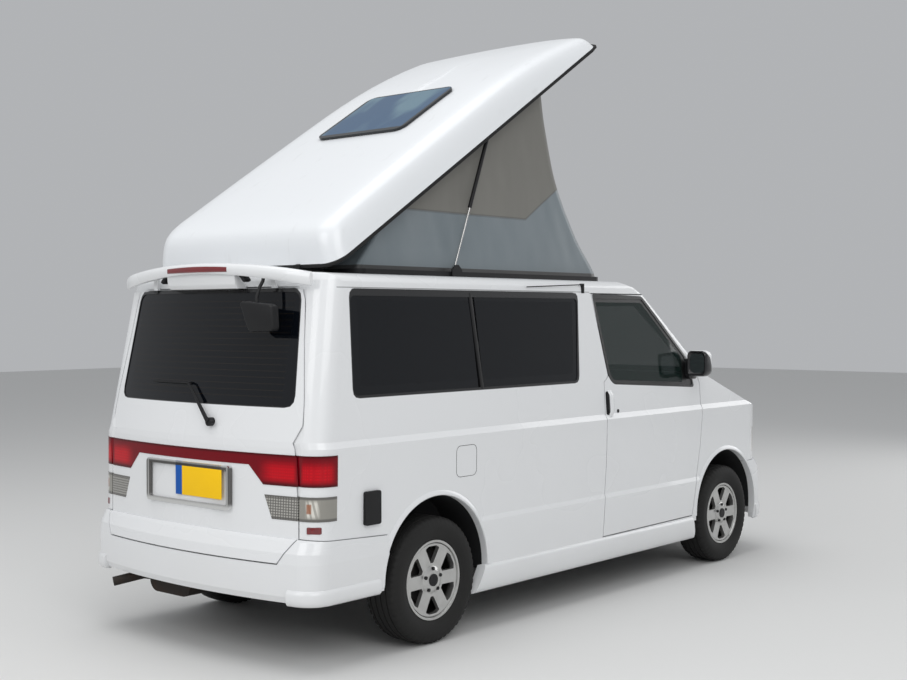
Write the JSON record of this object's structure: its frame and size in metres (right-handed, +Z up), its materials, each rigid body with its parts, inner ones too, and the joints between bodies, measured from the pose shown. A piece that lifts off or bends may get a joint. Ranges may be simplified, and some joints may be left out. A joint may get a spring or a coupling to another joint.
{
  "type": "camper van",
  "caption": "White one-box camper van on road wheels, with opening doors and tailgate and a rear-hinged roof raised over a grey fabric tent.",
  "frame": {"origin": "on the ground below the middle of the vehicle", "axes": "+X forward to the nose, +Y to the left side, +Z up"},
  "size_m": [4.6617, 2.05, 3.3739],
  "materials": {
    "tyre_rubber": "matte",
    "alloy": "satin paint",
    "body_white": "gloss",
    "bumper_white": "gloss",
    "roof_white": "gloss",
    "glass_dark": "tinted",
    "glass_clear": "clear",
    "skylight_glass": "tinted",
    "lamp_red": "gloss",
    "lamp_clear": "gloss",
    "tent_fabric": "woven",
    "seat_cloth": "woven",
    "chrome_trim": "polished",
    "dark_iron": "rough",
    "dark_steel": "matte black",
    "floor_paint": "matte",
    "seal_rubber": "matte",
    "trim_black": "matte"
  },
  "bodies": {
    "body": {"body_shell": "body_white", "floor_pan": "floor_paint", "engine_cover": "floor_paint", "windscreen": "glass_clear", "side_glass": "glass_dark", "sliding_door": "body_white", "front_bumper": "bumper_white", "grille": "trim_black", "headlamps": "lamp_clear", "rear_bumper": "bumper_white", "side_skirts": "bumper_white", "tail_lamps_red": "lamp_red", "tail_lamps_clear": "lamp_clear", "front_seats": "seat_cloth", "rear_bench": "seat_cloth", "dashboard": "trim_black", "steering_wheel": "trim_black", "engine_block": "dark_iron", "exhaust": "dark_steel", "fuel_tank": "dark_steel", "rear_axle": "dark_iron", "front_suspension": "dark_iron", "roof_fittings": "dark_steel", "antenna": "trim_black", "side_vent": "trim_black", "tent": "tent_fabric"},
    "roof": {"roof_shell": "roof_white", "skylight": "skylight_glass", "roof_seal": "seal_rubber"},
    "strut_tube_left": {"strut_tube_left": "dark_steel"},
    "strut_rod_left": {"strut_rod_left": "chrome_trim"},
    "front_door_left": {"front_door_left": "body_white", "door_glass_left": "glass_clear", "door_mirror_left": "bumper_white"},
    "knuckle_left": {"knuckle_left": "dark_iron"},
    "strut_tube_right": {"strut_tube_right": "dark_steel"},
    "strut_rod_right": {"strut_rod_right": "chrome_trim"},
    "front_door_right": {"front_door_right": "body_white", "door_glass_right": "glass_clear", "door_mirror_right": "bumper_white"},
    "knuckle_right": {"knuckle_right": "dark_iron"},
    "tailgate": {"tailgate": "body_white", "tailgate_glass": "glass_dark", "tailgate_lamps_red": "lamp_red", "tailgate_lamps_clear": "lamp_clear", "spoiler": "bumper_white", "rear_wiper": "trim_black", "plate_frame": "chrome_trim", "under_mirror": "trim_black"},
    "bonnet": {"bonnet": "body_white"},
    "wheel_front_left": {"tyre_front_left": "tyre_rubber", "rim_front_left": "alloy"},
    "wheel_front_right": {"tyre_front_right": "tyre_rubber", "rim_front_right": "alloy"},
    "wheel_rear_left": {"tyre_rear_left": "tyre_rubber", "rim_rear_left": "alloy"},
    "wheel_rear_right": {"tyre_rear_right": "tyre_rubber", "rim_rear_right": "alloy"}
  },
  "joints": [
    {"name": "roof_lift", "type": "hinge", "parent": "body", "child": "roof", "pos_m": [-1.94, 0, 1.89], "axis": [0, -1, 0], "range_deg": [-32.13, 0], "deforming": ["tent"]},
    {"name": "strut_swing_left", "type": "hinge", "parent": "roof", "child": "strut_tube_left", "pos_m": [-0.70705, 0.64, 2.68795], "axis": [0, -1, 0], "range_deg": [-35.8, 0]},
    {"name": "strut_stroke_left", "type": "slide", "parent": "strut_tube_left", "child": "strut_rod_left", "axis": [-0.3628, 0, -0.9319], "range_m": [-0.30234, 0]},
    {"name": "strut_swing_right", "type": "hinge", "parent": "roof", "child": "strut_tube_right", "pos_m": [-0.70705, -0.64, 2.68795], "axis": [0, -1, 0], "range_deg": [-35.8, 0]},
    {"name": "strut_stroke_right", "type": "slide", "parent": "strut_tube_right", "child": "strut_rod_right", "axis": [-0.3628, 0, -0.9319], "range_m": [-0.30234, 0]},
    {"name": "front_door_left_hinge", "type": "hinge", "parent": "body", "child": "front_door_left", "pos_m": [1.2305, 0.8435, 0.75], "axis": [0, 0, -1], "range_deg": [0, 65]},
    {"name": "front_door_right_hinge", "type": "hinge", "parent": "body", "child": "front_door_right", "pos_m": [1.2305, -0.8435, 0.75], "axis": [0, 0, 1], "range_deg": [0, 65]},
    {"name": "tailgate_hinge", "type": "hinge", "parent": "body", "child": "tailgate", "pos_m": [-2.115, 0, 1.85], "axis": [0, 1, 0], "range_deg": [0, 82]},
    {"name": "bonnet_hinge", "type": "hinge", "parent": "body", "child": "bonnet", "pos_m": [1.652, 0, 1.178], "axis": [0, -1, 0], "range_deg": [0, 50]},
    {"name": "steering_left", "type": "hinge", "parent": "body", "child": "knuckle_left", "pos_m": [1.54, 0.64, 0.32], "axis": [0, 0, 1], "range_deg": [-35, 35]},
    {"name": "steering_right", "type": "hinge", "parent": "body", "child": "knuckle_right", "pos_m": [1.54, -0.64, 0.32], "axis": [0, 0, 1], "range_deg": [-35, 35]},
    {"name": "wheel_front_left_spin", "type": "hinge", "parent": "knuckle_left", "child": "wheel_front_left", "pos_m": [1.54, 0.7275, 0.32], "axis": [0, 1, 0], "continuous": true},
    {"name": "wheel_front_right_spin", "type": "hinge", "parent": "knuckle_right", "child": "wheel_front_right", "pos_m": [1.54, -0.7275, 0.32], "axis": [0, 1, 0], "continuous": true},
    {"name": "wheel_rear_left_spin", "type": "hinge", "parent": "body", "child": "wheel_rear_left", "pos_m": [-1.38, 0.7275, 0.32], "axis": [0, 1, 0], "continuous": true},
    {"name": "wheel_rear_right_spin", "type": "hinge", "parent": "body", "child": "wheel_rear_right", "pos_m": [-1.38, -0.7275, 0.32], "axis": [0, 1, 0], "continuous": true}
  ],
  "couplings": [
    {"joint": "strut_swing_left", "follows": "roof_lift", "ratio": 1.1128},
    {"joint": "strut_stroke_left", "follows": "roof_lift", "m_per_rad": 0.53825},
    {"joint": "strut_swing_right", "follows": "roof_lift", "ratio": 1.1128},
    {"joint": "strut_stroke_right", "follows": "roof_lift", "m_per_rad": 0.53825},
    {"joint": "steering_right", "follows": "steering_left", "ratio": 1}
  ]
}
